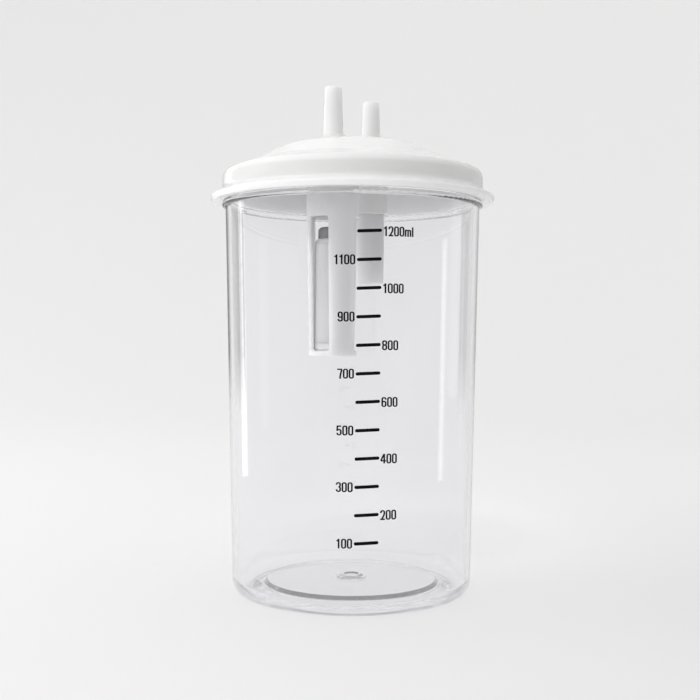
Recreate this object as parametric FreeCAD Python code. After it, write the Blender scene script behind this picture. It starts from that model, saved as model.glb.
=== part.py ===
import FreeCAD, Part
import math
import os

from FreeCAD import Vector

# Suction canister: a clear drafted jar, a white push-on lid with two nozzles, and a float valve
# that hangs in a slotted housing under one nozzle. Millimetres, +Z up, the origin on the floor
# at the middle of the jar's foot. -Y is the front, where the volume scale is printed.

# Jar wall and mouth
JAR_FOOT_RADIUS = 50.3          # outer wall carried down to the floor
JAR_DRAFT = 1.19                # degrees that each side leans out
JAR_WALL = 2.2
SHOULDER_BOTTOM = 162.1         # underside of the bead that the lid comes down to
SHOULDER_HEIGHT = 2.4
SHOULDER_REACH = 1.37           # bead beyond the wall under it
SHOULDER_ROUNDING = 0.9         # lower outer corner of the bead
NECK_SET_IN = 0.43              # neck inside the line of that wall
NECK_HEIGHT = 7.1               # neck above the bead

# Jar floor
FLOOR_THICKNESS = 2.0
PUSH_UP_HEIGHT = 5.8            # inside face of the raised middle of the floor
PUSH_UP_STEP = 1.5
STEP_RUN = 0.8
STEP_UNDERCUT = 1.2             # the step is this much wider on the underside
FLOOR_FALL = 1.6                # how far the floor falls from the step to the foot ring
FLOOR_SLOPE = 7.5               # from the raised middle out to the foot ring
FOOT_BAND = 6.9                 # from the foot ring's inner edge out to the wall
FOOT_CORNER = 5.8               # outer rounding between wall and foot
GATE_RADIUS = 6.4               # low boss left by the moulding gate
GATE_FOOT_HEIGHT = 0.35
GATE_TOP_RADIUS = 4.2
GATE_HEIGHT = 1.2
GATE_RIM = 1.0                  # rim round the dimple in its top
GATE_DIMPLE = 0.6

# Printed scale
MARK_COUNT = 12
TOP_MARK_DROP = 16.9            # 1200 ml, below the lid
MARK_SPACING = 10.78            # 100 ml
MARK_LENGTH = 9.4
MARK_WIDTH = 1.25
MARK_TILT = 2.4                 # degrees, right end up
TOP_MARK_OFFSET = 6.5           # to the right of the middle
BOTTOM_MARK_OFFSET = 5.6
MARK_ROUND_END = 0.6            # just under half the width, so the ends stay arcs
INK_THICKNESS = 0.12
INK_GAP = 0.02

# Lid skin, from the crown out to the skirt
CROWN_RADIUS = 115.0            # radius of the dome's crown
KNUCKLE_RADIUS = 12.0
FLANK_ANGLE = 28.8              # degrees below level
FLANK_LENGTH = 11.68            # from the knuckle down to the dome's foot
DOME_FOOT_RISE = 15.9           # above the lid's lower face
DOME_FOOT_ROUNDING = 8.0
LEDGE_WIDTH = 12.4              # from the dome's foot out to the skirt
LEDGE_ANGLE = 17.6              # degrees below level
LID_WALL = 2.0
SKIRT_WALL = 1.6                # around the seal's channel, at the flange
SKIRT_DRAFT = 1.0
SKIRT_CORNER = 3.2
FIT_CLEARANCE = 0.2             # lid skirt, plug and seal against the jar
FLANGE_ROOT_HEIGHT = 4.2        # flange root above the lid's lower face
FLANGE_REACH = 4.9              # beyond the skirt
FLANGE_LIP = 1.2                # thickness of the turned-down lip
FLANGE_TIP_RISE = 1.7           # top edge of the tip above the lid's lower face
FLANGE_TIP_DROP = 0.6           # lower edge of the tip below that face
FLANGE_GROOVE = 2.6             # hollow between the lip and the skirt, below the root
FLANGE_ROOT_ROUNDING = 2.2
SEAL_HEIGHT = 2.6
PLUG_WALL = 1.6                 # ring that goes inside the jar's mouth
PLUG_CLEARANCE = 0.3
PLUG_DEPTH = 7.1                # below the jar's mouth

# Nozzles, on a line through the middle of the lid
PORT_LINE_ANGLE = 61.6          # degrees from +X
PORT_RADIUS = 16.8
NOZZLE_RISE = 19.1              # above the crown
NOZZLE_ROOT = 4.0               # depth of its root below the crown's skin
NOZZLE_TOP_RADIUS = 3.55
NOZZLE_TAPER = 1.85             # degrees a side
NOZZLE_BORE = 2.4               # radius
NOZZLE_FLARE = 1.8              # rounding into the crown
NOZZLE_EDGE = 0.5

# Float valve housing, pushed over the collar under the front nozzle
COLLAR_DROP = 4.2               # below the lid's lower face
COLLAR_WALL = 1.2
HOUSING_LENGTH = 68.6
HOUSING_BOTTOM_RADIUS = 9.8
HOUSING_SPREAD = 1.0            # wider at the collar than at the bottom
HOUSING_WALL = 1.8
HOUSING_FLOOR = 2.0
HOUSING_GRIP = 8.0              # length over the collar
PUSH_FIT = 0.1                  # clearance of the plugged joints
SLOT_COUNT = 3
SLOT_WIDTH = 9.4
SLOT_TOP_MARGIN = 3.9           # housing left whole under the collar
SLOT_CORNER = 1.2
FIRST_SLOT_ANGLE = -125.0       # degrees from +X
DRAIN_RADIUS = 3.0

# Float, with a rubber seal on its stem
FLOAT_CLEARANCE = 0.5           # around the float at the housing's bottom
FLOAT_HEIGHT = 45.8
FLOAT_REST_GAP = 0.3
FLOAT_WALL = 1.2
FLOAT_SHOULDER = 2.0
FLOAT_CAP_HEIGHT = 3.1
FLOAT_CAP_SPIGOT = 3.0
FLOAT_RING_DROP = 2.5           # fine ring groove below the float's top
FLOAT_RING_DEPTH = 0.25
FLOAT_FOOT_ROUNDING = 1.0
STEM_RADIUS = 2.2
STEM_HEIGHT = 3.4
VALVE_SEAL_RADIUS = 6.0
VALVE_SEAL_HEIGHT = 4.6
VALVE_SEAL_CHAMFER = 1.0
FLOAT_TRAVEL = 5.0
SEAT_GAP = 0.3                  # left between seal and seat at the top of the travel
SEAT_RADIUS = 4.6
SEAT_EDGE = 0.8

# Inlet drip tube, pushed into the collar under the rear nozzle
TUBE_LENGTH = 38.0
TUBE_BOTTOM_RADIUS = 5.7
TUBE_SPREAD = 0.4               # wider at the collar than at the bottom
TUBE_WALL = 1.3
TUBE_PLUG = 8.0
TUBE_COLLAR_DROP = 3.7          # below the lid's lower face
TUBE_COLLAR_WALL = 1.45
TUBE_COLLAR_DOME = 9.6          # height of the domed space above the tube's end
TUBE_DOME_ROUNDING = 2.4

# Small edges, and how far a cutter runs past the face that it cuts
EDGE = 0.4
OVERRUN = 1.0

# Jar, worked out from the values above
DRAFT_RISE = math.tan(math.radians(JAR_DRAFT))
WALL_TOP_RADIUS = JAR_FOOT_RADIUS + SHOULDER_BOTTOM * DRAFT_RISE
SHOULDER_RADIUS = WALL_TOP_RADIUS + SHOULDER_REACH
SHOULDER_TOP = SHOULDER_BOTTOM + SHOULDER_HEIGHT
NECK_RADIUS = WALL_TOP_RADIUS - NECK_SET_IN
NECK_TOP = SHOULDER_TOP + NECK_HEIGHT
FOOT_RING_RADIUS = JAR_FOOT_RADIUS - FOOT_BAND
PUSH_UP_RADIUS = FOOT_RING_RADIUS - FLOOR_SLOPE

# Lid, worked out from the jar's neck
LID_BOTTOM = SHOULDER_TOP + FIT_CLEARANCE
SEAL_BOTTOM = NECK_TOP + FIT_CLEARANCE
CHANNEL_TOP = SEAL_BOTTOM + SEAL_HEIGHT
CHANNEL_RADIUS = NECK_RADIUS + FIT_CLEARANCE
SKIRT_RADIUS = CHANNEL_RADIUS + SKIRT_WALL
FLANGE_RADIUS = SKIRT_RADIUS + FLANGE_REACH
DOME_FOOT_RADIUS = SKIRT_RADIUS - LEDGE_WIDTH
DOME_FOOT_HEIGHT = LID_BOTTOM + DOME_FOOT_RISE
PLUG_BOTTOM = NECK_TOP - PLUG_DEPTH
TOP_MARK_HEIGHT = LID_BOTTOM - TOP_MARK_DROP

# Dome, worked out from its foot: the knuckle's arc meets the flank, and the crown's arc meets it
FLANK = math.radians(FLANK_ANGLE)
KNUCKLE_X = DOME_FOOT_RADIUS - FLANK_LENGTH * math.cos(FLANK) - KNUCKLE_RADIUS * math.sin(FLANK)
KNUCKLE_Z = DOME_FOOT_HEIGHT + FLANK_LENGTH * math.sin(FLANK) - KNUCKLE_RADIUS * math.cos(FLANK)
CROWN_CENTRE = KNUCKLE_Z - math.sqrt((CROWN_RADIUS - KNUCKLE_RADIUS) ** 2 - KNUCKLE_X ** 2)
CROWN_HEIGHT = CROWN_CENTRE + CROWN_RADIUS
NOZZLE_TOP = CROWN_HEIGHT + NOZZLE_RISE

# Housing, float and tube, worked out from the lid's collars
COLLAR_BOTTOM = LID_BOTTOM - COLLAR_DROP
HOUSING_TOP = COLLAR_BOTTOM + HOUSING_GRIP
HOUSING_BOTTOM = HOUSING_TOP - HOUSING_LENGTH
HOUSING_TOP_RADIUS = HOUSING_BOTTOM_RADIUS + HOUSING_SPREAD
COLLAR_RADIUS = HOUSING_TOP_RADIUS - HOUSING_WALL - PUSH_FIT
SLOT_TOP = COLLAR_BOTTOM - SLOT_TOP_MARGIN
FLOAT_RADIUS = HOUSING_BOTTOM_RADIUS - HOUSING_WALL - FLOAT_CLEARANCE
FLOAT_BOTTOM = HOUSING_BOTTOM + HOUSING_FLOOR + FLOAT_REST_GAP
FLOAT_TOP = FLOAT_BOTTOM + FLOAT_HEIGHT
SEAT_BOTTOM = FLOAT_TOP + VALVE_SEAL_HEIGHT + FLOAT_TRAVEL + SEAT_GAP
TUBE_COLLAR_BOTTOM = LID_BOTTOM - TUBE_COLLAR_DROP
TUBE_TOP = TUBE_COLLAR_BOTTOM + TUBE_PLUG
TUBE_BOTTOM = TUBE_TOP - TUBE_LENGTH
TUBE_TOP_RADIUS = TUBE_BOTTOM_RADIUS + TUBE_SPREAD
AXIS = Vector(0, 0, 1)


def wall_radius(height):
    """Outer radius of the drafted jar wall at a height."""
    return JAR_FOOT_RADIUS + height * DRAFT_RISE


def port_place(side):
    """Middle of a nozzle: side -1 is the front one, +1 the rear one."""
    angle = math.radians(PORT_LINE_ANGLE)
    return Vector(side * PORT_RADIUS * math.cos(angle), side * PORT_RADIUS * math.sin(angle), 0)


def corner_ends(before, here, after, rounding):
    """Start, middle and end of the arc that rounds one corner."""
    back = (before - here).normalize()
    ahead = (after - here).normalize()
    half = back.getAngle(ahead) / 2
    reach = rounding / math.tan(half)
    inward = (back + ahead).normalize()
    middle = here + inward * (rounding / math.sin(half) - rounding)
    return here + back * reach, middle, here + ahead * reach


def path(corners, closed=True):
    """Edges through corners (radius, height, rounding) in the X-Z plane."""
    points = [Vector(radius, 0, height) for radius, height, rounding in corners]
    edges = []
    first = last = None
    for index, (radius, height, rounding) in enumerate(corners):
        start = end = points[index]
        if rounding > 0:
            after = points[(index + 1) % len(points)]
            start, middle, end = corner_ends(points[index - 1], points[index], after, rounding)
        if last is not None and last.distanceToPoint(start) > 1e-6:
            edges.append(Part.LineSegment(last, start).toShape())
        if rounding > 0:
            edges.append(Part.Arc(start, middle, end).toShape())
        first = first or start
        last = end
    if closed:
        edges.append(Part.LineSegment(last, first).toShape())
    return edges


def turn(edges, place=Vector(0, 0, 0)):
    """Revolve a closed outline about the upright axis, then carry it to its place."""
    solid = Part.Face(Part.Wire(Part.__sortEdges__(edges))).revolve(Vector(0, 0, 0), AXIS, 360)
    solid.translate(place)
    return solid


def rod(radius, bottom, top, place=Vector(0, 0, 0)):
    """Plain upright cylinder."""
    return Part.makeCylinder(radius, top - bottom, place + Vector(0, 0, bottom))


def jar():
    """Clear jar in one moulding: stepped floor, drafted wall, bead and neck."""
    under = PUSH_UP_HEIGHT - FLOOR_THICKNESS
    step_under = under - PUSH_UP_STEP
    step_radius = PUSH_UP_RADIUS + STEP_UNDERCUT
    inner_foot = wall_radius(FLOOR_THICKNESS) - JAR_WALL
    step_inside = PUSH_UP_HEIGHT - PUSH_UP_STEP
    outline = path([
        (0, under, 0),
        (step_radius, under, EDGE),
        (step_radius + STEP_RUN, step_under, EDGE),
        (FOOT_RING_RADIUS, 0, EDGE),
        (JAR_FOOT_RADIUS, 0, FOOT_CORNER),
        (wall_radius(SHOULDER_BOTTOM), SHOULDER_BOTTOM, EDGE),
        (SHOULDER_RADIUS, SHOULDER_BOTTOM, SHOULDER_ROUNDING),
        (SHOULDER_RADIUS, SHOULDER_TOP, EDGE),
        (NECK_RADIUS, SHOULDER_TOP, EDGE / 2),
        (NECK_RADIUS, NECK_TOP, EDGE),
        (wall_radius(NECK_TOP) - JAR_WALL, NECK_TOP, EDGE),
        (inner_foot, step_inside - FLOOR_FALL, FOOT_CORNER - FLOOR_THICKNESS),
        (PUSH_UP_RADIUS + STEP_RUN, step_inside, EDGE),
        (PUSH_UP_RADIUS, PUSH_UP_HEIGHT, EDGE),
        (0, PUSH_UP_HEIGHT, 0),
    ])
    body = turn(outline)
    return body.fuse(gate_mark()).removeSplitter()


def gate_mark():
    """Low dimpled boss left by the moulding gate in the middle of the floor."""
    bottom = PUSH_UP_HEIGHT - FLOOR_THICKNESS / 2
    top = PUSH_UP_HEIGHT + GATE_HEIGHT
    dimple = GATE_TOP_RADIUS - GATE_RIM
    return turn(path([
        (0, bottom, 0),
        (GATE_RADIUS, bottom, 0),
        (GATE_RADIUS, PUSH_UP_HEIGHT + GATE_FOOT_HEIGHT, EDGE / 2),
        (GATE_TOP_RADIUS, top, EDGE),
        (dimple, top, EDGE),
        (dimple - GATE_DIMPLE, top - GATE_DIMPLE, EDGE),
        (0, top - GATE_DIMPLE, 0),
    ]))


def scale_bars():
    """Twelve printed marks that follow the wall, one for each 100 ml."""
    lowest = TOP_MARK_HEIGHT - MARK_SPACING * (MARK_COUNT - 1)
    bottom = lowest - MARK_LENGTH
    top = TOP_MARK_HEIGHT + MARK_LENGTH
    inside = INK_GAP
    outside = INK_GAP + INK_THICKNESS
    film = turn(path([
        (wall_radius(bottom) + inside, bottom, 0),
        (wall_radius(bottom) + outside, bottom, 0),
        (wall_radius(top) + outside, top, 0),
        (wall_radius(top) + inside, top, 0),
    ]))
    return Part.Compound([film.common(mark_cutter(index)) for index in range(MARK_COUNT)])


def mark_cutter(index):
    """Round-ended bar, long enough front to back to cut one mark from the ink film."""
    fall = index / (MARK_COUNT - 1)
    across = TOP_MARK_OFFSET + (BOTTOM_MARK_OFFSET - TOP_MARK_OFFSET) * fall
    height = TOP_MARK_HEIGHT - MARK_SPACING * index
    half = MARK_LENGTH / 2
    end = MARK_WIDTH / 2
    rounding = min(MARK_ROUND_END, end)
    corners = [(-half, -end, rounding), (half, -end, rounding),
               (half, end, rounding), (-half, end, rounding)]
    face = Part.Face(Part.Wire(Part.__sortEdges__(path(corners))))
    bar = face.extrude(Vector(0, -2 * JAR_FOOT_RADIUS, 0))
    bar.rotate(Vector(0, 0, 0), Vector(0, -1, 0), MARK_TILT)
    bar.translate(Vector(across, 0, height))
    return bar


def inset_corner(radius, height, before, after, depth):
    """Corner between two straight stretches of the skin, set in square to both."""
    middle = math.radians((before + after) / 2)
    half = math.radians((after - before) / 2)
    reach = depth / math.cos(half)
    return radius - reach * math.sin(middle), height - reach * math.cos(middle)


def crown_height(radius):
    """Height of the crown's outer skin at a distance from the axis."""
    return CROWN_CENTRE + math.sqrt(CROWN_RADIUS ** 2 - radius ** 2)


def crown_and_knuckle(depth):
    """Dome from the axis to the flank, set in by depth: two tangent arcs and their last point."""
    centre = Vector(0, 0, CROWN_CENTRE)
    knuckle = Vector(KNUCKLE_X, 0, KNUCKLE_Z)
    out = Vector(math.sin(FLANK), 0, math.cos(FLANK))
    toward = (knuckle - centre).normalize()
    crown_end = centre + toward * (CROWN_RADIUS - depth)
    top = centre + Vector(0, 0, CROWN_RADIUS - depth)
    crown_middle = centre + (toward + AXIS).normalize() * (CROWN_RADIUS - depth)
    flank_start = knuckle + out * (KNUCKLE_RADIUS - depth)
    knuckle_middle = knuckle + (toward + out).normalize() * (KNUCKLE_RADIUS - depth)
    arcs = [Part.Arc(top, crown_middle, crown_end).toShape(),
            Part.Arc(crown_end, knuckle_middle, flank_start).toShape()]
    return arcs, top, flank_start


def ledge_height(radius, depth):
    """Height of the sloping ledge between dome and skirt, set in by depth."""
    angle = math.radians(LEDGE_ANGLE)
    return (DOME_FOOT_HEIGHT - (radius - DOME_FOOT_RADIUS) * math.tan(angle)
            - depth / math.cos(angle))


def skirt_top_radius(height):
    """Outer radius of the skirt at a height."""
    rise = height - LID_BOTTOM - FLANGE_ROOT_HEIGHT
    return SKIRT_RADIUS - rise * math.tan(math.radians(SKIRT_DRAFT))


def lid_shell():
    """Lid without its nozzles: dome, ledge, skirt, flange, seal channel and plug ring."""
    outer_arcs, top, outer_start = crown_and_knuckle(0)
    inner_arcs, inner_top, inner_start = crown_and_knuckle(LID_WALL)
    corner_radius = skirt_top_radius(ledge_height(SKIRT_RADIUS, 0))
    inner_foot = inset_corner(DOME_FOOT_RADIUS, DOME_FOOT_HEIGHT, FLANK_ANGLE, LEDGE_ANGLE,
                              LID_WALL)
    plug_outer = wall_radius(NECK_TOP) - JAR_WALL - PLUG_CLEARANCE
    plug_inner = plug_outer - PLUG_WALL
    root = LID_BOTTOM + FLANGE_ROOT_HEIGHT
    outer = path([
        (outer_start.x, outer_start.z, 0),
        (DOME_FOOT_RADIUS, DOME_FOOT_HEIGHT, DOME_FOOT_ROUNDING),
        (corner_radius, ledge_height(corner_radius, 0), SKIRT_CORNER),
        (SKIRT_RADIUS, root, FLANGE_ROOT_ROUNDING),
        (FLANGE_RADIUS, LID_BOTTOM + FLANGE_TIP_RISE, EDGE),
        (FLANGE_RADIUS - FLANGE_TIP_DROP, LID_BOTTOM - FLANGE_TIP_DROP, EDGE),
        (FLANGE_RADIUS - FLANGE_LIP, LID_BOTTOM - FLANGE_TIP_DROP, EDGE),
        (SKIRT_RADIUS + EDGE, root - FLANGE_GROOVE, EDGE),
        (SKIRT_RADIUS - EDGE, LID_BOTTOM, EDGE / 2),
        (CHANNEL_RADIUS, LID_BOTTOM, EDGE),
        (CHANNEL_RADIUS, CHANNEL_TOP, EDGE / 2),
        (plug_outer, CHANNEL_TOP, EDGE / 2),
        (plug_outer, PLUG_BOTTOM, EDGE),
        (plug_inner, PLUG_BOTTOM, EDGE),
        (plug_inner, ledge_height(plug_inner, LID_WALL), LID_WALL / 2),
        (inner_foot[0], inner_foot[1], DOME_FOOT_ROUNDING + LID_WALL),
        (inner_start.x, inner_start.z, 0),
    ], closed=False)
    closing = Part.LineSegment(inner_top, top).toShape()
    return turn(outer_arcs + outer + inner_arcs + [closing])


def under_skin(depth):
    """Everything inside the lid's outer skin set in by depth, down to the lid's lower face."""
    arcs, top, start = crown_and_knuckle(depth)
    foot = inset_corner(DOME_FOOT_RADIUS, DOME_FOOT_HEIGHT, FLANK_ANGLE, LEDGE_ANGLE, depth)
    reach = NECK_RADIUS
    rest = path([
        (start.x, start.z, 0),
        (foot[0], foot[1], 0),
        (reach, ledge_height(reach, depth), 0),
        (reach, HOUSING_BOTTOM, 0),
        (0, HOUSING_BOTTOM, 0),
        (top.x, top.z, 0),
    ], closed=False)
    return turn(arcs + rest)


def nozzle(place):
    """Tapered hose nozzle, rooted inside the lid's wall."""
    root = crown_height(PORT_RADIUS) - NOZZLE_ROOT
    taper = math.tan(math.radians(NOZZLE_TAPER))
    return turn(path([
        (0, root, 0),
        (NOZZLE_TOP_RADIUS + (NOZZLE_TOP - root) * taper, root, 0),
        (NOZZLE_TOP_RADIUS, NOZZLE_TOP, NOZZLE_EDGE),
        (0, NOZZLE_TOP, 0),
    ]), place)


def flare(body, place):
    """Round the joint between a nozzle and the crown."""
    skin = crown_height(PORT_RADIUS)
    roots = []
    for edge in body.Edges:
        box = edge.BoundBox
        centred = Vector(box.Center.x, box.Center.y, 0).distanceToPoint(place) < EDGE
        on_skin = abs(box.Center.z - skin) < LID_WALL / 2
        if centred and on_skin and box.XLength > 2 * NOZZLE_TOP_RADIUS:
            roots.append(edge)
    return body.makeFillet(NOZZLE_FLARE, roots)


def lid():
    """White lid in one moulding with both nozzles, the collars and the valve seat."""
    front = port_place(-1)
    rear = port_place(1)
    body = lid_shell().fuse([nozzle(front), nozzle(rear)])
    body = flare(body, front)
    body = flare(body, rear)
    inside = under_skin(LID_WALL / 2)
    tube_collar_radius = TUBE_TOP_RADIUS + PUSH_FIT + TUBE_COLLAR_WALL
    collar = valve_collar(front).common(inside)
    tube_collar = rod(tube_collar_radius, TUBE_COLLAR_BOTTOM, CROWN_HEIGHT, rear).common(inside)
    body = body.fuse([collar, tube_collar])
    body = body.cut([valve_chamber(front), tube_socket(rear)])
    body = body.fuse(valve_seat(front))
    bores = [rod(NOZZLE_BORE, SEAT_BOTTOM - OVERRUN, NOZZLE_TOP + OVERRUN, front),
             rod(NOZZLE_BORE, TUBE_TOP - OVERRUN, NOZZLE_TOP + OVERRUN, rear)]
    return body.cut(bores).removeSplitter()


def valve_collar(place):
    """Front collar: the housing goes over its lower part, up to the shoulder above it."""
    return turn(path([
        (0, COLLAR_BOTTOM, 0),
        (COLLAR_RADIUS, COLLAR_BOTTOM, EDGE),
        (COLLAR_RADIUS, HOUSING_TOP + PUSH_FIT, 0),
        (HOUSING_TOP_RADIUS, HOUSING_TOP + PUSH_FIT, EDGE),
        (HOUSING_TOP_RADIUS, CROWN_HEIGHT, 0),
        (0, CROWN_HEIGHT, 0),
    ]), place)


def valve_chamber(place):
    """Hollow of the front collar, up to the lid's inner skin."""
    hollow = rod(COLLAR_RADIUS - COLLAR_WALL, COLLAR_BOTTOM - OVERRUN, CROWN_HEIGHT, place)
    return hollow.common(under_skin(LID_WALL))


def valve_seat(place):
    """Short pipe under the front nozzle whose lower rim the float's seal closes."""
    pipe = turn(path([
        (0, SEAT_BOTTOM, 0),
        (SEAT_RADIUS, SEAT_BOTTOM, SEAT_EDGE),
        (SEAT_RADIUS, CROWN_HEIGHT, 0),
        (0, CROWN_HEIGHT, 0),
    ]), place)
    return pipe.common(under_skin(LID_WALL / 2))


def tube_socket(place):
    """Hollow of the rear collar: a socket for the drip tube, stepped down to its bore."""
    socket = TUBE_TOP_RADIUS + PUSH_FIT
    bore = TUBE_TOP_RADIUS - TUBE_WALL
    return turn(path([
        (0, TUBE_COLLAR_BOTTOM - OVERRUN, 0),
        (socket, TUBE_COLLAR_BOTTOM - OVERRUN, 0),
        (socket, TUBE_TOP + PUSH_FIT, 0),
        (bore, TUBE_TOP + PUSH_FIT, 0),
        (bore, TUBE_TOP + TUBE_COLLAR_DOME, TUBE_DOME_ROUNDING),
        (0, TUBE_TOP + TUBE_COLLAR_DOME, 0),
    ]), place)


def rim_seal():
    """Soft ring in the lid's channel that closes on the jar's neck."""
    outer = CHANNEL_RADIUS - PUSH_FIT
    inner = wall_radius(NECK_TOP) - JAR_WALL - PLUG_CLEARANCE + PUSH_FIT
    return turn(path([
        (inner, SEAL_BOTTOM, EDGE),
        (outer, SEAL_BOTTOM, EDGE),
        (outer, CHANNEL_TOP - PUSH_FIT, EDGE),
        (inner, CHANNEL_TOP - PUSH_FIT, EDGE),
    ]))


def slot_cutter(index):
    """Upright slot with rounded corners, through one side of the housing."""
    reach = 2 * HOUSING_TOP_RADIUS
    bottom = HOUSING_BOTTOM + HOUSING_FLOOR
    box = Part.makeBox(reach, SLOT_WIDTH, SLOT_TOP - bottom, Vector(0, -SLOT_WIDTH / 2, bottom))
    long_edges = [edge for edge in box.Edges if edge.BoundBox.XLength > reach / 2]
    box = box.makeFillet(SLOT_CORNER, long_edges)
    box.rotate(Vector(0, 0, 0), AXIS, FIRST_SLOT_ANGLE + index * 360 / SLOT_COUNT)
    return box


def float_housing():
    """Slotted, tapered cage with a drain hole, in one moulding."""
    floor = HOUSING_BOTTOM + HOUSING_FLOOR
    body = turn(path([
        (DRAIN_RADIUS, HOUSING_BOTTOM, EDGE),
        (HOUSING_BOTTOM_RADIUS, HOUSING_BOTTOM, EDGE),
        (HOUSING_TOP_RADIUS, COLLAR_BOTTOM, 0),
        (HOUSING_TOP_RADIUS, HOUSING_TOP, EDGE),
        (HOUSING_TOP_RADIUS - HOUSING_WALL, HOUSING_TOP, EDGE),
        (HOUSING_TOP_RADIUS - HOUSING_WALL, COLLAR_BOTTOM, 0),
        (HOUSING_BOTTOM_RADIUS - HOUSING_WALL, floor, EDGE),
        (DRAIN_RADIUS, floor, EDGE),
    ]))
    body = body.cut([slot_cutter(index) for index in range(SLOT_COUNT)])
    body.translate(port_place(-1))
    return body


def float_body():
    """Hollow float, open below, with a stem for its seal and a fine ring near the top."""
    inner = FLOAT_RADIUS - FLOAT_WALL
    cap_top = FLOAT_BOTTOM + FLOAT_CAP_HEIGHT
    ring = FLOAT_TOP - FLOAT_RING_DROP
    return turn(path([
        (inner, cap_top, 0),
        (FLOAT_RADIUS, cap_top, FLOAT_RING_DEPTH),
        (FLOAT_RADIUS, ring - FLOAT_RING_DEPTH, 0),
        (FLOAT_RADIUS - FLOAT_RING_DEPTH, ring, 0),
        (FLOAT_RADIUS - FLOAT_RING_DEPTH, FLOAT_TOP, FLOAT_SHOULDER),
        (STEM_RADIUS, FLOAT_TOP, 0),
        (STEM_RADIUS, FLOAT_TOP + STEM_HEIGHT, EDGE),
        (0, FLOAT_TOP + STEM_HEIGHT, 0),
        (0, FLOAT_TOP - FLOAT_WALL, 0),
        (inner, FLOAT_TOP - FLOAT_WALL, FLOAT_SHOULDER - EDGE),
    ]), port_place(-1))


def float_base_cap():
    """Cap that closes the float from below."""
    spigot = FLOAT_RADIUS - FLOAT_WALL - PUSH_FIT
    cap_top = FLOAT_BOTTOM + FLOAT_CAP_HEIGHT
    return turn(path([
        (0, FLOAT_BOTTOM, 0),
        (FLOAT_RADIUS, FLOAT_BOTTOM, FLOAT_FOOT_ROUNDING),
        (FLOAT_RADIUS, cap_top, FLOAT_RING_DEPTH),
        (spigot, cap_top, 0),
        (spigot, cap_top + FLOAT_CAP_SPIGOT, EDGE),
        (0, cap_top + FLOAT_CAP_SPIGOT, 0),
    ]), port_place(-1))


def float_seal():
    """Rubber seal pushed onto the float's stem."""
    hole = STEM_RADIUS + INK_GAP
    hole_top = FLOAT_TOP + STEM_HEIGHT + INK_GAP
    top = FLOAT_TOP + VALVE_SEAL_HEIGHT
    return turn(path([
        (hole, FLOAT_TOP, 0),
        (VALVE_SEAL_RADIUS, FLOAT_TOP, EDGE),
        (VALVE_SEAL_RADIUS, top - VALVE_SEAL_CHAMFER, EDGE),
        (VALVE_SEAL_RADIUS - VALVE_SEAL_CHAMFER, top, EDGE),
        (0, top, 0),
        (0, hole_top, 0),
        (hole, hole_top, 0),
    ]), port_place(-1))


def drip_tube():
    """Inlet tube under the rear nozzle, plugged into its collar."""
    return turn(path([
        (TUBE_BOTTOM_RADIUS - TUBE_WALL, TUBE_BOTTOM, EDGE),
        (TUBE_BOTTOM_RADIUS, TUBE_BOTTOM, EDGE),
        (TUBE_TOP_RADIUS, TUBE_COLLAR_BOTTOM, 0),
        (TUBE_TOP_RADIUS, TUBE_TOP, EDGE),
        (TUBE_TOP_RADIUS - TUBE_WALL, TUBE_TOP, EDGE),
        (TUBE_TOP_RADIUS - TUBE_WALL, TUBE_COLLAR_BOTTOM, 0),
    ]), port_place(1))


NODES = {
    "jar": jar,
    "scale_bars": scale_bars,
    "lid": lid,
    "rim_seal": rim_seal,
    "float_housing": float_housing,
    "float_body": float_body,
    "float_base_cap": float_base_cap,
    "float_seal": float_seal,
    "drip_tube": drip_tube,
}

os.makedirs("parts", exist_ok=True)
for name, make in NODES.items():
    shape = make()
    shape.exportStep("parts/" + name + ".step")
    print(name, len(shape.Solids), "solid(s)", round(shape.Volume / 1000, 2), "cm3", shape.isValid())
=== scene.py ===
"""Suction canister: finishes, printed numbers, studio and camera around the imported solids."""
import math

import bmesh
import bpy
from bpy.props import FloatProperty, FloatVectorProperty, PointerProperty
from mathutils import Matrix, Vector


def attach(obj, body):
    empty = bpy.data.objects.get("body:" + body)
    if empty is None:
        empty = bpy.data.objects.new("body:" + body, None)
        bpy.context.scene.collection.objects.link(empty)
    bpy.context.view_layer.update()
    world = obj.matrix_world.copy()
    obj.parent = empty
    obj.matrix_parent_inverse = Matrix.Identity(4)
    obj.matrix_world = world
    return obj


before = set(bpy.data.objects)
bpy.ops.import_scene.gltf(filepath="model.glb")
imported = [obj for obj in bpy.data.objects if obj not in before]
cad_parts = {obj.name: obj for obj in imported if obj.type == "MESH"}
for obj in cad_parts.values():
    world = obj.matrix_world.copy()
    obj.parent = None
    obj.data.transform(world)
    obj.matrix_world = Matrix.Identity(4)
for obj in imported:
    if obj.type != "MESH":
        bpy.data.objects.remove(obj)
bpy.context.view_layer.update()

bl_info = {
    "name": "Suction Canister",
    "version": (1, 0, 0),
    "blender": (4, 5, 0),
    "location": "View3D > Sidebar > Canister",
    "description": "Finishes, printed volume scale, studio and camera for a suction canister",
    "category": "Object",
}

# Clear plastic: how it bends, passes and tints light
CLEAR_IOR = 1.49
CLEAR_PASS = (0.98, 0.98, 0.985)
CLEAR_TINT = (0.6, 0.56, 0.75)
CLEAR_TINT_DENSITY = 1.5

# Light that has bounced this often is caught in the jar's wall, and a share of it is let out
TRAPPED_BOUNCES = 6
TRAPPED_SHARE = 0.35

# The jar's outer foot corner: its share of light that goes straight through, beyond a radius,
# and the heights between which that share fades out
CORNER_SHARE = 0.5
CORNER_RADIUS = 0.0425
CORNER_HEIGHT = (0.003, 0.0075)

# Moulded plastic: share of the broad pattern, depth of the grain, reach of light in milky plastic
WAVE_SHARE = 0.3
GRAIN_DEPTH = 0.0002
MILK_REACH = 0.005
RIM_RUBBER = (0.6, 0.6, 0.59)
VALVE_RUBBER = (0.2, 0.2, 0.21)
INK_SPECULAR = 0.05

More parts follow.
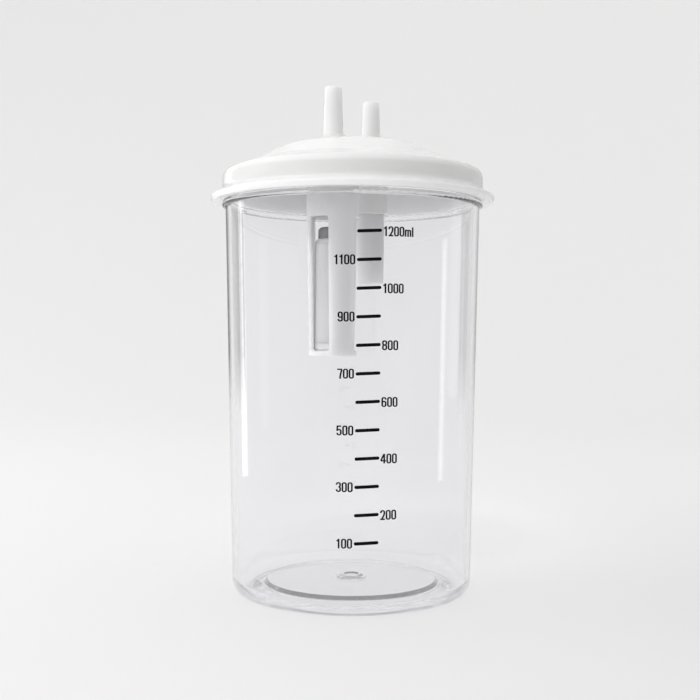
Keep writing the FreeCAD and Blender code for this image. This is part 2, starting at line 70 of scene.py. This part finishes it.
# Printed numbers, from the top mark down, and how far the ink is off the wall
LABELS = ("1200ml", "1100", "1000", "900", "800", "700", "600", "500", "400", "300", "200", "100")
INK_LIFT = 0.00002

# Studio sweep: its level under the foot, its bend, top and paling edge as shares of its radius
AIR_GAP = -0.0002
SWEEP_BEND = 0.6
SWEEP_TOP = 0.68
SWEEP_FADE = (0.46, 0.64)
SWEEP_STEPS = 96
BEND_STEPS = 24
PAPER = (0.93, 0.93, 0.928)

# Share of a mirrored card's height, from the floor up, in which it pales to the paper's colour
CARD_FADE = 0.12

# Cards: name, foot, turn in degrees, width and height, grey, whether it is only mirrored
CARDS = (
    ("flag_right", (0.365, -0.228, 0.03), 58, (0.4, 0.3), 0.12, False),
    ("edge_card_0", (-0.368, 0.95, 0.0), 0, (0.265, 0.7), 0.3, True),
    ("edge_card_2", (0.368, 0.95, 0.0), 0, (0.265, 0.7), 0.66, True),
)

# Lamps: name, place, aim, size, power, spread in degrees if narrow, whether it is only mirrored
MIDDLE = (0, 0, 0.1)
LAMPS = (
    ("key_left", (-1.1, -0.82, 0.75), MIDDLE, (0.9, 0.9), 3.9, None, False),
    ("fill_left", (-1.35, 0.1, 1.0), MIDDLE, (1.0, 1.0), 5.0, None, False),
    ("top", (0.0, 0.2, 1.5), MIDDLE, (1.2, 1.2), 0.3, None, False),
    ("overhead", (-0.1, -0.45, 0.72), (0, -0.008, 0.19), (0.1, 0.1), 0.0075, 17, False),
    ("strip_left", (-0.348, 0.145, 0.1), MIDDLE, (0.045, 0.2), 0.058, None, True),
    ("strip_left_upper", (-0.707, 0.707, 0.4), (0, 0, 0.17), (0.1, 0.24), 0.45, None, True),
    ("strip_right", (0.957, 0.24, 0.2), MIDDLE, (0.24, 0.5), 0.13, None, True),
)

# Camera: degrees that it is panned, dipped and rolled, and its sensor's width in millimetres
CAMERA_PAN = 0.105
CAMERA_DIP = 0.69
CAMERA_ROLL = 0.2
SENSOR_WIDTH = 36.0

# Light of the surroundings, and how often light may bounce or pass a clear surface
AIR_STRENGTH = 0.8
LIGHT_BOUNCES = 48
CLEAR_LAYERS = 32


class CanisterScaleSizes(bpy.types.PropertyGroup):
    """Printed numbers of the volume scale"""

    digit_height: FloatProperty(
        name="Digit height", description="Height of a printed digit",
        default=0.0037, min=0.001, max=0.01, unit="LENGTH", precision=5)
    ink_depth: FloatProperty(
        name="Ink depth", description="Thickness of the printed ink",
        default=0.00008, min=0.00002, max=0.0005, unit="LENGTH", precision=6)
    label_gap: FloatProperty(
        name="Label gap", description="Space between a mark and its number",
        default=0.0005, min=0.0, max=0.005, unit="LENGTH", precision=5)
    label_drop: FloatProperty(
        name="Label drop", description="How far a number's middle is below its mark's",
        default=0.0001, min=-0.005, max=0.005, unit="LENGTH", precision=5)
    top_mark: FloatProperty(
        name="Top mark", description="Height of the 1200 ml mark",
        default=0.1478, min=0.05, max=0.2, unit="LENGTH", precision=5)
    spacing: FloatProperty(
        name="Mark spacing", description="Height between two marks",
        default=0.01078, min=0.005, max=0.02, unit="LENGTH", precision=5)
    mark_length: FloatProperty(
        name="Mark length", description="Length of a printed mark",
        default=0.0094, min=0.002, max=0.03, unit="LENGTH", precision=5)
    top_offset: FloatProperty(
        name="Top offset", description="How far right of the middle the top mark's middle is",
        default=0.0065, min=-0.03, max=0.03, unit="LENGTH", precision=5)
    bottom_offset: FloatProperty(
        name="Bottom offset", description="How far right of the middle the lowest mark's middle is",
        default=0.0056, min=-0.03, max=0.03, unit="LENGTH", precision=5)
    foot_radius: FloatProperty(
        name="Foot radius", description="Jar wall's radius carried down to the floor",
        default=0.0503, min=0.02, max=0.1, unit="LENGTH", precision=5)
    draft: FloatProperty(
        name="Draft", description="Degrees that the jar's wall leans out",
        default=1.19, min=0.0, max=10.0)


class CanisterColours(bpy.types.PropertyGroup):
    """Colours of the canister's plastics"""

    jar: FloatVectorProperty(
        name="Jar", description="Tint of the clear plastic",
        default=(0.958, 0.956, 0.968), size=3, min=0.0, max=1.0, subtype="COLOR")
    lid: FloatVectorProperty(
        name="Lid", description="Colour of the white lid",
        default=(0.84, 0.84, 0.835), size=3, min=0.0, max=1.0, subtype="COLOR")
    housing: FloatVectorProperty(
        name="Housing", description="Colour of the float housing",
        default=(0.93, 0.92, 0.94), size=3, min=0.0, max=1.0, subtype="COLOR")
    tube: FloatVectorProperty(
        name="Tube", description="Colour of the drip tube",
        default=(0.85, 0.84, 0.855), size=3, min=0.0, max=1.0, subtype="COLOR")
    float_shell: FloatVectorProperty(
        name="Float", description="Colour of the float",
        default=(0.94, 0.93, 0.945), size=3, min=0.0, max=1.0, subtype="COLOR")
    ink: FloatVectorProperty(
        name="Ink", description="Colour of the printed scale",
        default=(0.004, 0.004, 0.005), size=3, min=0.0, max=1.0, subtype="COLOR")


class CanisterStageSizes(bpy.types.PropertyGroup):
    """Camera and studio"""

    camera_distance: FloatProperty(
        name="Camera distance", description="From the camera to the jar's axis",
        default=0.463, min=0.2, max=3.0, unit="LENGTH")
    camera_height: FloatProperty(
        name="Camera height", description="Height of the camera above the floor",
        default=0.1077, min=0.0, max=2.0, unit="LENGTH", precision=4)
    lens: FloatProperty(
        name="Focal length", description="Focal length in millimetres on a 36 mm sensor",
        default=55.9, min=10.0, max=200.0)
    floor_radius: FloatProperty(
        name="Floor radius", description="Radius of the studio's round floor and wall",
        default=2.2, min=0.5, max=10.0, unit="LENGTH")


def new_group(name, inputs, outputs):
    """Shader node group with its sockets; returns the tree and its two ends."""
    tree = bpy.data.node_groups.new(name, "ShaderNodeTree")
    for socket_name, kind in inputs:
        tree.interface.new_socket(name=socket_name, in_out="INPUT", socket_type=kind)
    for socket_name, kind in outputs:
        tree.interface.new_socket(name=socket_name, in_out="OUTPUT", socket_type=kind)
    start = tree.nodes.new("NodeGroupInput")
    end = tree.nodes.new("NodeGroupOutput")
    return tree, start, end


def mould_grain():
    """Fine spark texture and broad waves of a moulded surface: a height, and a mask."""
    if "Mould grain" in bpy.data.node_groups:
        return bpy.data.node_groups["Mould grain"]
    tree, start, end = new_group(
        "Mould grain",
        [("Vector", "NodeSocketVector"), ("Fine Scale", "NodeSocketFloat"),
         ("Wave Scale", "NodeSocketFloat"), ("Wave Share", "NodeSocketFloat")],
        [("Height", "NodeSocketFloat"), ("Mask", "NodeSocketFloat")])
    fine = tree.nodes.new("ShaderNodeTexNoise")
    fine.inputs["Detail"].default_value = 3.0
    wave = tree.nodes.new("ShaderNodeTexNoise")
    wave.inputs["Detail"].default_value = 1.0
    mix = tree.nodes.new("ShaderNodeMix")
    tree.links.new(start.outputs["Vector"], fine.inputs["Vector"])
    tree.links.new(start.outputs["Vector"], wave.inputs["Vector"])
    tree.links.new(start.outputs["Fine Scale"], fine.inputs["Scale"])
    tree.links.new(start.outputs["Wave Scale"], wave.inputs["Scale"])
    tree.links.new(start.outputs["Wave Share"], mix.inputs["Factor"])
    tree.links.new(fine.outputs["Fac"], mix.inputs["A"])
    tree.links.new(wave.outputs["Fac"], mix.inputs["B"])
    tree.links.new(mix.outputs["Result"], end.inputs["Height"])
    tree.links.new(wave.outputs["Fac"], end.inputs["Mask"])
    return tree


def place(tree, group, vector, **values):
    """Put a shared group in a material, fed by the piece's own coordinates."""
    node = tree.nodes.new("ShaderNodeGroup")
    node.node_tree = group
    tree.links.new(vector, node.inputs["Vector"])
    for name, value in values.items():
        node.inputs[name.replace("_", " ")].default_value = value
    return node


def spread(tree, value, low, high):
    """Turn a 0 to 1 value into a range."""
    node = tree.nodes.new("ShaderNodeMapRange")
    node.inputs["To Min"].default_value = low
    node.inputs["To Max"].default_value = high
    tree.links.new(value, node.inputs["Value"])
    return node.outputs["Result"]


def math_node(tree, operation, first, second):
    """Join two values, or a value and a number."""
    node = tree.nodes.new("ShaderNodeMath")
    node.operation = operation
    for socket, value in zip(node.inputs, (first, second)):
        if isinstance(value, (int, float)):
            socket.default_value = value
        else:
            tree.links.new(value, socket)
    return node.outputs["Value"]


def over_height(tree, vector, span, low=0.0, high=1.0):
    """Value that goes from low to high over a span of the piece's own height."""
    parts = tree.nodes.new("ShaderNodeSeparateXYZ")
    tree.links.new(vector, parts.inputs["Vector"])
    ramp = tree.nodes.new("ShaderNodeMapRange")
    ramp.inputs["From Min"].default_value, ramp.inputs["From Max"].default_value = span
    ramp.inputs["To Min"].default_value = low
    ramp.inputs["To Max"].default_value = high
    tree.links.new(parts.outputs["Z"], ramp.inputs["Value"])
    return ramp.outputs["Result"]


def new_material(name):
    """Material with its Principled shader and its object coordinates."""
    material = bpy.data.materials.new(name)
    material.use_nodes = True
    tree = material.node_tree
    shader = tree.nodes["Principled BSDF"]
    coordinates = tree.nodes.new("ShaderNodeTexCoord")
    return material, tree, shader, coordinates.outputs["Object"]


def add_bump(tree, shader, height, strength, distance=GRAIN_DEPTH):
    """Raise the surface by a height."""
    bump = tree.nodes.new("ShaderNodeBump")
    bump.inputs["Strength"].default_value = strength
    bump.inputs["Distance"].default_value = distance
    tree.links.new(height, bump.inputs["Height"])
    tree.links.new(bump.outputs["Normal"], shader.inputs["Normal"])


def toned(tree, shader, colour, mask, drift):
    """Base colour that drifts a little over the piece; returns that colour's socket."""
    mix = tree.nodes.new("ShaderNodeMix")
    mix.data_type = "RGBA"
    mix.inputs[6].default_value = (*[c * (1 - drift) for c in colour], 1)
    mix.inputs[7].default_value = (*[min(1, c * (1 + drift)) for c in colour], 1)
    tree.links.new(mask, mix.inputs["Factor"])
    tree.links.new(mix.outputs[2], shader.inputs["Base Color"])
    return mix.outputs[2]


def let_through(tree, shader, share, colour=(1.0, 1.0, 1.0)):
    """Put out the surface, with a share of the light going straight through it."""
    clear = tree.nodes.new("ShaderNodeBsdfTransparent")
    clear.inputs["Color"].default_value = (*colour, 1)
    mix = tree.nodes.new("ShaderNodeMixShader")
    tree.links.new(share, mix.inputs[0])
    tree.links.new(shader.outputs["BSDF"], mix.inputs[1])
    tree.links.new(clear.outputs["BSDF"], mix.inputs[2])
    tree.links.new(mix.outputs[0], tree.nodes["Material Output"].inputs["Surface"])


def drawn_upright(tree, vector, flatten):
    """Stretch a pattern along the height, as the flow of the moulding leaves it."""
    mapping = tree.nodes.new("ShaderNodeMapping")
    mapping.inputs["Scale"].default_value = (1.0, 1.0, flatten)
    tree.links.new(vector, mapping.inputs["Vector"])
    return mapping.outputs["Vector"]


def moulded_plastic(name, colour, rough, grain, strength, milk=0.0, wave=55.0, flatten=1.0,
                    drift=0.02):
    """Opaque or milky moulded plastic."""
    material, tree, shader, vector = new_material(name)
    if flatten != 1.0:
        vector = drawn_upright(tree, vector, flatten)
    group = place(tree, mould_grain(), vector,
                  Fine_Scale=grain, Wave_Scale=wave, Wave_Share=WAVE_SHARE)
    toned(tree, shader, colour, group.outputs["Mask"], drift)
    tree.links.new(spread(tree, group.outputs["Mask"], *rough), shader.inputs["Roughness"])
    add_bump(tree, shader, group.outputs["Height"], strength)
    shader.inputs["Subsurface Weight"].default_value = milk
    shader.inputs["Subsurface Radius"].default_value = (1.0, 1.0, 1.0)
    shader.inputs["Subsurface Scale"].default_value = MILK_REACH
    return material


def foot_corner(tree, vector):
    """Share of light that the jar's outer foot corner lets straight through, as a thin wall does."""
    length = tree.nodes.new("ShaderNodeVectorMath")
    length.operation = "LENGTH"
    tree.links.new(vector, length.inputs[0])
    outside = math_node(tree, "GREATER_THAN", length.outputs["Value"], CORNER_RADIUS)
    return math_node(tree, "MULTIPLY", outside,
                     over_height(tree, vector, CORNER_HEIGHT, low=CORNER_SHARE, high=0.0))


def clear_plastic(colour):
    """Clear polished plastic; light passes through it to what it holds."""
    material, tree, shader, vector = new_material("clear_jar")
    group = place(tree, mould_grain(), vector,
                  Fine_Scale=260.0, Wave_Scale=28.0, Wave_Share=0.8)
    toned(tree, shader, colour, group.outputs["Mask"], drift=0.004)
    tree.links.new(spread(tree, group.outputs["Mask"], low=0.0, high=0.02),
                   shader.inputs["Roughness"])
    add_bump(tree, shader, group.outputs["Height"], strength=0.004, distance=0.0003)
    shader.inputs["Transmission Weight"].default_value = 1.0
    shader.inputs["IOR"].default_value = CLEAR_IOR
    path = tree.nodes.new("ShaderNodeLightPath")
    onward = math_node(tree, "MAXIMUM",
                       path.outputs["Is Shadow Ray"], path.outputs["Is Diffuse Ray"])
    trapped = math_node(tree, "GREATER_THAN", path.outputs["Ray Depth"], TRAPPED_BOUNCES)
    let_out = math_node(tree, "MULTIPLY", trapped, TRAPPED_SHARE)
    released = math_node(tree, "MAXIMUM", onward, let_out)
    thin = math_node(tree, "MAXIMUM", released, foot_corner(tree, vector))
    # Light that has gone straight through one side of the wall goes through the other too
    through = math_node(tree, "GREATER_THAN", path.outputs["Transparent Depth"], 0)
    let_through(tree, shader, math_node(tree, "MAXIMUM", thin, through), CLEAR_PASS)
    tint = tree.nodes.new("ShaderNodeVolumeAbsorption")
    tint.inputs["Color"].default_value = (*CLEAR_TINT, 1)
    tint.inputs["Density"].default_value = CLEAR_TINT_DENSITY
    tree.links.new(tint.outputs["Volume"], tree.nodes["Material Output"].inputs["Volume"])
    return material


def dress(node, material):
    """Give a solid of the frame its finish."""
    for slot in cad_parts[node].material_slots:
        slot.material = material


class CANISTER_OT_jar(bpy.types.Operator):
    """Finish the clear jar"""

    bl_idname = "canister.jar"
    bl_label = "Jar"

    def execute(self, context):
        dress("jar", clear_plastic(context.scene.canister_colours.jar))
        return {"FINISHED"}


class CANISTER_OT_lid(bpy.types.Operator):
    """Finish the white lid and its seal"""

    bl_idname = "canister.lid"
    bl_label = "Lid and seal"

    def execute(self, context):
        colours = context.scene.canister_colours
        dress("lid", moulded_plastic(
            "white_lid", colours.lid, rough=(0.16, 0.24), grain=900.0, strength=0.05, milk=0.8))
        dress("rim_seal", moulded_plastic(
            "rim_rubber", RIM_RUBBER, rough=(0.6, 0.75), grain=700.0, strength=0.2))
        return {"FINISHED"}


class CANISTER_OT_valve(bpy.types.Operator):
    """Finish the float valve and the drip tube"""

    bl_idname = "canister.valve"
    bl_label = "Float valve and tube"

    def execute(self, context):
        colours = context.scene.canister_colours
        dress("float_housing", moulded_plastic(
            "natural_housing", colours.housing, rough=(0.3, 0.45), grain=800.0, strength=0.06,
            milk=1.0, wave=420.0, flatten=0.03, drift=0.035))
        dress("drip_tube", moulded_plastic(
            "natural_tube", colours.tube, rough=(0.3, 0.45), grain=800.0, strength=0.06,
            milk=1.0, wave=420.0, flatten=0.03, drift=0.03))
        shell = moulded_plastic(
            "float_shell", colours.float_shell, rough=(0.25, 0.38), grain=900.0, strength=0.05,
            milk=1.0, wave=300.0, flatten=0.05, drift=0.03)
        dress("float_body", shell)
        dress("float_base_cap", shell)
        dress("float_seal", moulded_plastic(
            "valve_rubber", VALVE_RUBBER, rough=(0.6, 0.8), grain=900.0, strength=0.3))
        return {"FINISHED"}


# Pen strokes of each printed sign, for a digit one unit high: start, heading and moves
BOWL = 0.143
LOW = 0.055
HIGH = 0.945
SIGNS = {
    "0": [((BOWL, 0.5), 90,
           [(HIGH - BOWL - 0.5, 0), (BOWL, 180), (HIGH - LOW - 2 * BOWL, 0), (BOWL, 180),
            (0.5 - LOW - BOWL, 0)])],
    "1": [((0.04, 0), 90, [(1.0, 0)]),
          ((-0.13, 0.76), 38, [(0.2, 0)])],
    "2": [((-BOWL, 0.7), 90,
           [(HIGH - BOWL - 0.7, 0), (BOWL, -180), (0.1, 0), (0.75, -24), (0.36, 0)]),
          ((-0.2, LOW), 0, [(0.4, 0)])],
    "3": [((-BOWL, 0.74), 90, [(HIGH - BOWL - 0.74, 0), (BOWL, -180), (0.12, 0), (BOWL, -90)]),
          ((0, 0.53), 0, [(BOWL, -90), (0.18, 0), (BOWL, -180), (0.08, 0)])],
    "4": [((0.08, 0), 90, [(1.0, 0)]),
          ((0.06, 0.97), 249, [(0.72, 0)]),
          ((-0.21, 0.28), 0, [(0.43, 0)])],
    "5": [((-0.16, HIGH), 0, [(0.34, 0)]),
          ((-0.13, 0.99), 268, [(0.52, 0)]),
          ((-BOWL, 0.45), 90, [(BOWL, -180), (0.25, 0), (BOWL, -180), (0.06, 0)])],
    "6": [((-BOWL, 0.42), 90, [(HIGH - BOWL - 0.42, 0), (BOWL, -180), (0.06, 0)]),
          ((BOWL, 0.42), 90,
           [(BOWL, 180), (0.42 - LOW - BOWL, 0), (BOWL, 180), (0.42 - LOW - BOWL, 0)])],
    "7": [((-0.2, HIGH), 0, [(0.4, 0)]),
          ((0.17, 0.9), 258, [(0.4, 0), (1.6, 8), (0.31, 0)])],
    "8": [((BOWL, 0.3), 90, [(0.08, 0), (BOWL, 180), (0.18, 0), (BOWL, 180), (0.1, 0)]),
          ((BOWL, 0.7), 90,
           [(HIGH - BOWL - 0.7, 0), (BOWL, 180), (0.13, 0), (BOWL, 180), (0.03, 0)])],
    "9": [((BOWL, 0.58), 270, [(0.58 - LOW - BOWL, 0), (BOWL, -180), (0.06, 0)]),
          ((-BOWL, 0.58), 270,
           [(BOWL, 180), (HIGH - BOWL - 0.58, 0), (BOWL, 180), (HIGH - BOWL - 0.58, 0)])],
    "m": [((-0.22, 0), 90, [(0.72, 0)]),
          ((-0.22, 0.55), 90, [(0.11, -180), (0.55, 0)]),
          ((0, 0.55), 90, [(0.11, -180), (0.55, 0)])],
    "l": [((0, 0), 90, [(1.0, 0)])],
}

# Width that each sign takes in a line, the pen's width, its stretch across, and degrees per step
DIGIT_ADVANCE = 0.6
SIGN_ADVANCE = {"m": 0.79, "l": 0.27, "1": 0.53}
PEN_WIDTH = 0.14
PEN_STRETCH = 1.28
ARC_STEP = 15


def verts_of(items):
    """Corners among the results of a mesh operator."""
    return [item for item in items if isinstance(item, bmesh.types.BMVert)]


def linked(name, shape):
    """Put a finished shape in the scene as an object."""
    mesh = bpy.data.meshes.new(name)
    shape.to_mesh(mesh)
    shape.free()
    piece = bpy.data.objects.new(name, mesh)
    bpy.context.scene.collection.objects.link(piece)
    return piece


def pen_stroke(shape, start, heading, moves, width):
    """Flat stroke of even width: (length, 0) goes straight, (radius, degrees) turns left."""
    point = Vector((start[0], start[1], 0))
    ahead = Vector((math.cos(math.radians(heading)), math.sin(math.radians(heading)), 0))
    left = Vector((-ahead.y, ahead.x, 0))
    tip = [shape.verts.new(point + left * width / 2), shape.verts.new(point - left * width / 2)]
    edge = shape.edges.new(tip)
    for size, degrees in moves:
        left = Vector((-ahead.y, ahead.x, 0))
        if degrees:
            angle = math.radians(degrees)
            centre = point + left * math.copysign(size, angle)
            steps = math.ceil(abs(degrees) / ARC_STEP)
            made = bmesh.ops.spin(shape, geom=tip + [edge], cent=centre, axis=(0, 0, 1),
                                  angle=angle, steps=steps)["geom_last"]
            tip = verts_of(made)
            edge = next(item for item in made if isinstance(item, bmesh.types.BMEdge))
            turn = Matrix.Rotation(angle, 3, "Z")
            point = centre + turn @ (point - centre)
            ahead = turn @ ahead
        else:
            made = bmesh.ops.extrude_edge_only(shape, edges=[edge])["geom"]
            tip = verts_of(made)
            edge = next(item for item in made if isinstance(item, bmesh.types.BMEdge)
                        and all(vert in tip for vert in item.verts))
            bmesh.ops.translate(shape, verts=tip, vec=ahead * size)
            point = point + ahead * size


def printed_label(name, words, anchor, side, sizes):
    """Number beside a mark: pen strokes with a little thickness, wrapped on the drafted wall."""
    shape = bmesh.new()
    along = 0.0
    for sign in words:
        step = SIGN_ADVANCE.get(sign, DIGIT_ADVANCE)
        old = len(shape.verts)
        for start, heading, moves in SIGNS[sign]:
            pen_stroke(shape, start, heading, moves, PEN_WIDTH)
        shape.verts.ensure_lookup_table()
        fresh = shape.verts[old:]
        bmesh.ops.scale(shape, vec=(PEN_STRETCH, 1, 1), verts=fresh)
        bmesh.ops.translate(shape, vec=(along + step / 2, -0.5, 0), verts=fresh)
        along += step
    bmesh.ops.remove_doubles(shape, verts=shape.verts, dist=1e-4)
    bmesh.ops.scale(shape, vec=[sizes.digit_height] * 3, verts=shape.verts)
    shift = 0.0 if side > 0 else -along * sizes.digit_height
    flat = shape.faces[:]
    raised = bmesh.ops.extrude_face_region(shape, geom=flat, use_keep_orig=True)["geom"]
    bmesh.ops.translate(shape, vec=(0, 0, sizes.ink_depth), verts=verts_of(raised))
    bmesh.ops.recalc_face_normals(shape, faces=shape.faces)
    lean = math.tan(math.radians(sizes.draft))
    for vert in shape.verts:
        across = anchor[0] + shift + vert.co.x
        height = anchor[1] + vert.co.y
        radius = sizes.foot_radius + height * lean + vert.co.z + INK_LIFT
        turn = across / radius
        vert.co = (radius * math.sin(turn), -radius * math.cos(turn), height)
    return linked(name, shape)


class CANISTER_OT_scale(bpy.types.Operator):
    """Print the volume scale"""

    bl_idname = "canister.scale"
    bl_label = "Volume scale"

    def execute(self, context):
        ink = moulded_plastic("scale_ink", context.scene.canister_colours.ink,
                              rough=(0.5, 0.7), grain=1500.0, strength=0.1)
        shader = ink.node_tree.nodes["Principled BSDF"]
        shader.inputs["Specular IOR Level"].default_value = INK_SPECULAR
        dress("scale_bars", ink)
        sizes = context.scene.canister_scale
        last = len(LABELS) - 1
        for index, words in enumerate(LABELS):
            fall = index / last
            side = 1 if index % 2 == 0 else -1
            middle = sizes.top_offset + (sizes.bottom_offset - sizes.top_offset) * fall
            edge = sizes.mark_length / 2 + sizes.label_gap
            anchor = (middle + side * edge,
                      sizes.top_mark - sizes.spacing * index - sizes.label_drop)
            label = printed_label("scale_" + words, words, anchor, side, sizes)
            label.data.materials.append(ink)
            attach(label, "canister")
        return {"FINISHED"}


def turned_sheet(name, corners, steps):
    """Open sheet turned about the upright axis from (radius, height, rounding) corners."""
    shape = bmesh.new()
    verts = [shape.verts.new((radius, 0, height)) for radius, height, _ in corners]
    for first, second in zip(verts, verts[1:]):
        shape.edges.new((first, second))
    for vert, (_, _, rounding) in zip(verts, corners):
        if rounding:
            bmesh.ops.bevel(shape, geom=[vert], offset=rounding, offset_type="OFFSET",
                            affect="VERTICES", segments=BEND_STEPS, profile=0.5, material=-1)
    bmesh.ops.spin(shape, geom=shape.verts[:] + shape.edges[:], cent=(0, 0, 0), axis=(0, 0, 1),
                   angle=math.tau, steps=steps, use_merge=True)
    bmesh.ops.remove_doubles(shape, verts=shape.verts, dist=1e-6)
    bmesh.ops.recalc_face_normals(shape, faces=shape.faces)
    for face in shape.faces:
        face.smooth = True
    return linked(name, shape)


def card_cloth(name, colour, fade):
    """Cloth of a card; from the floor up to the fade height it pales to the paper's colour."""
    material, tree, shader, vector = new_material(name)
    group = place(tree, mould_grain(), vector,
                  Fine_Scale=300.0, Wave_Scale=55.0, Wave_Share=WAVE_SHARE)
    add_bump(tree, shader, group.outputs["Height"], strength=0.2)
    shader.inputs["Roughness"].default_value = 0.9
    cloth = toned(tree, shader, colour, group.outputs["Mask"], drift=0.02)
    if fade:
        pale = tree.nodes.new("ShaderNodeMix")
        pale.data_type = "RGBA"
        pale.inputs[6].default_value = (*PAPER, 1)
        tree.links.new(over_height(tree, vector, (0.0, fade)), pale.inputs["Factor"])
        tree.links.new(cloth, pale.inputs[7])
        tree.links.new(pale.outputs[2], shader.inputs["Base Color"])
    return material


def standing_card(name, foot, turn, size, grey, mirrored):
    """Upright card beside the set: it either takes away light or is only mirrored in gloss."""
    shape = bmesh.new()
    bmesh.ops.create_grid(shape, x_segments=4, y_segments=4, size=0.5)
    stand = Matrix.Rotation(math.radians(turn), 3, "Z") @ Matrix.Rotation(math.radians(90), 3, "X")
    bmesh.ops.scale(shape, verts=shape.verts, vec=(size[0], size[1], 1))
    bmesh.ops.rotate(shape, verts=shape.verts, cent=(0, 0, 0), matrix=stand)
    bmesh.ops.translate(shape, verts=shape.verts, vec=Vector(foot) + Vector((0, 0, size[1] / 2)))
    card = linked(name, shape)
    card.visible_camera = False
    card.visible_diffuse = not mirrored
    card.visible_shadow = not mirrored
    card.visible_glossy = mirrored
    card.visible_transmission = mirrored
    fade = size[1] * CARD_FADE if mirrored else 0.0
    card.data.materials.append(card_cloth(name + "_cloth", (grey, grey, grey), fade))


def area_light(name, position, aim, size, power, spread_angle, mirrored):
    """Soft box that faces a point: it either lights the set or is only mirrored in gloss."""
    light = bpy.data.lights.new(name, "AREA")
    light.shape = "RECTANGLE"
    light.size, light.size_y = size
    light.energy = power
    if spread_angle is not None:
        light.spread = math.radians(spread_angle)
    lamp = bpy.data.objects.new(name, light)
    lamp.location = position
    lamp.rotation_euler = (Vector(aim) - Vector(position)).to_track_quat("-Z", "Y").to_euler()
    lamp.visible_camera = False
    lamp.visible_diffuse = not mirrored
    lamp.visible_glossy = mirrored
    lamp.visible_transmission = mirrored
    bpy.context.scene.collection.objects.link(lamp)


def studio_paper(radius):
    """Pale paper of the studio sweep; its upper edge thins out into the light above."""
    material, tree, shader, vector = new_material("studio_paper")
    group = place(tree, mould_grain(), vector,
                  Fine_Scale=900.0, Wave_Scale=1.5, Wave_Share=0.5)
    toned(tree, shader, PAPER, group.outputs["Mask"], drift=0.006)
    shader.inputs["Roughness"].default_value = 0.9
    shader.inputs["Specular IOR Level"].default_value = 0.0
    edge = [radius * share for share in SWEEP_FADE]
    let_through(tree, shader, over_height(tree, vector, edge))
    return material


class CANISTER_OT_stage(bpy.types.Operator):
    """Set up the floor, the lights and the camera"""

    bl_idname = "canister.stage"
    bl_label = "Studio and camera"

    def execute(self, context):
        sizes = context.scene.canister_stage
        radius = sizes.floor_radius
        sweep = turned_sheet("studio_sweep", [(0, AIR_GAP, 0),
                                              (radius, AIR_GAP, radius * SWEEP_BEND),
                                              (radius, radius * SWEEP_TOP, 0)], SWEEP_STEPS)
        sweep.data.materials.append(studio_paper(radius))
        for lamp in LAMPS:
            area_light(*lamp)
        for card in CARDS:
            standing_card(*card)
        world = bpy.data.worlds.new("studio_air")
        context.scene.world = world
        world.use_nodes = True
        air = world.node_tree.nodes["Background"]
        air.inputs["Color"].default_value = (1.0, 1.0, 1.0, 1)
        air.inputs["Strength"].default_value = AIR_STRENGTH
        camera_data = bpy.data.cameras.new("camera")
        camera_data.lens = sizes.lens
        camera_data.sensor_width = SENSOR_WIDTH
        camera = bpy.data.objects.new("camera", camera_data)
        turn = (Matrix.Rotation(math.radians(CAMERA_PAN), 4, "Z")
                @ Matrix.Rotation(math.radians(90 - CAMERA_DIP), 4, "X")
                @ Matrix.Rotation(math.radians(CAMERA_ROLL), 4, "Z"))
        stand = Matrix.Translation((0, -sizes.camera_distance, sizes.camera_height))
        camera.matrix_world = stand @ turn
        context.scene.collection.objects.link(camera)
        context.scene.camera = camera
        context.scene.view_settings.view_transform = "Standard"
        cycles = context.scene.cycles
        cycles.max_bounces = LIGHT_BOUNCES
        cycles.transmission_bounces = LIGHT_BOUNCES
        cycles.transparent_max_bounces = CLEAR_LAYERS
        cycles.caustics_reflective = False
        cycles.use_denoising = True
        return {"FINISHED"}


class CANISTER_PT_panel(bpy.types.Panel):
    """Canister"""

    bl_idname = "CANISTER_PT_panel"
    bl_label = "Suction canister"
    bl_space_type = "VIEW_3D"
    bl_region_type = "UI"
    bl_category = "Canister"

    def draw(self, context):
        column = self.layout.column()
        for step in STEPS:
            column.operator(step.bl_idname)


STEPS = (CANISTER_OT_jar, CANISTER_OT_lid, CANISTER_OT_valve, CANISTER_OT_scale, CANISTER_OT_stage)
GROUPS = (CanisterScaleSizes, CanisterColours, CanisterStageSizes)


def register():
    """Register the classes and hang the settings on the scene."""
    for item in (*GROUPS, *STEPS, CANISTER_PT_panel):
        bpy.utils.register_class(item)
    bpy.types.Scene.canister_scale = PointerProperty(type=CanisterScaleSizes)
    bpy.types.Scene.canister_colours = PointerProperty(type=CanisterColours)
    bpy.types.Scene.canister_stage = PointerProperty(type=CanisterStageSizes)


def unregister():
    """Take the settings and the classes away again."""
    del bpy.types.Scene.canister_scale
    del bpy.types.Scene.canister_colours
    del bpy.types.Scene.canister_stage
    for item in reversed((*GROUPS, *STEPS, CANISTER_PT_panel)):
        bpy.utils.unregister_class(item)


def main():
    """Build everything in order."""
    register()
    bpy.ops.canister.jar()
    bpy.ops.canister.lid()
    bpy.ops.canister.valve()
    bpy.ops.canister.scale()
    bpy.ops.canister.stage()


if __name__ == "__main__":
    main()
